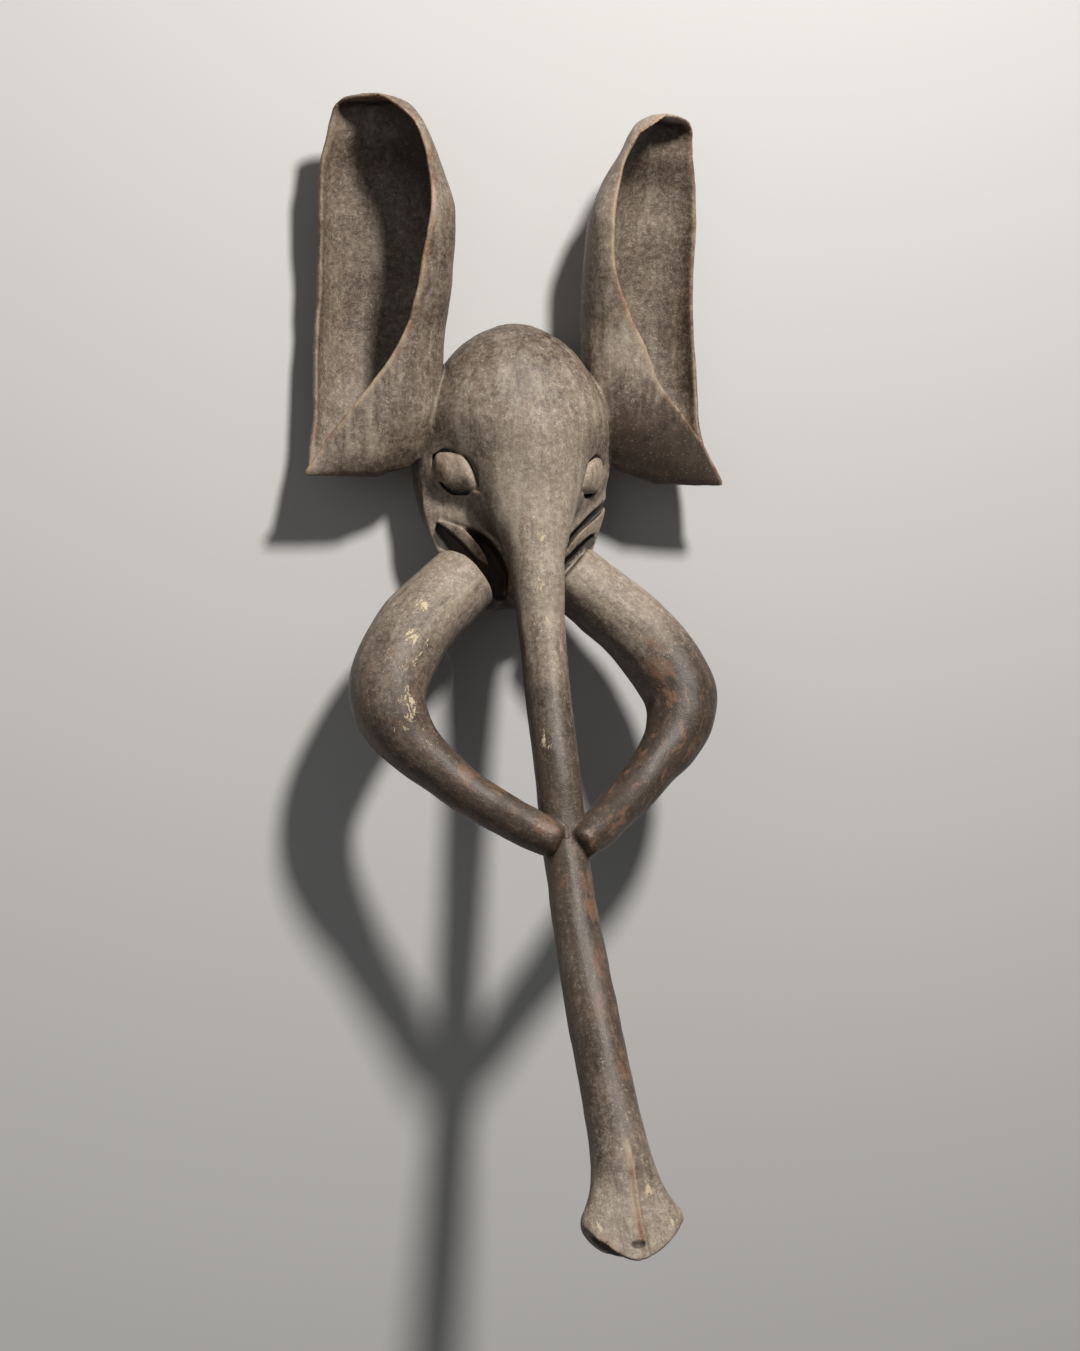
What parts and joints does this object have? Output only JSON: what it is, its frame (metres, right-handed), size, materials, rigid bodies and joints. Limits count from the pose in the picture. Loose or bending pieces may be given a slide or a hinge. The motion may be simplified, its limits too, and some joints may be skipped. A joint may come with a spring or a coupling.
{
  "type": "elephant mask",
  "caption": "Carved wooden helmet mask of an elephant: domed hollow head, upright scooped ears, curved tusks that meet on a long straight trunk with a flared tip.",
  "frame": {"origin": "under the middle of the whole length and width, on the plane of the hollow's flat rim, which it lies on", "axes": "+X to the mask's own left side, +Y from the trunk towards the tops of the ears, +Z out of the face"},
  "size_m": [0.509, 1.26, 0.4805],
  "materials": {
    "aged_wood": "dry grey-brown patina, worn, with pale dust and reddish bare patches"
  },
  "bodies": {
    "root": {"elephant_mask": "aged_wood"}
  },
  "joints": []
}
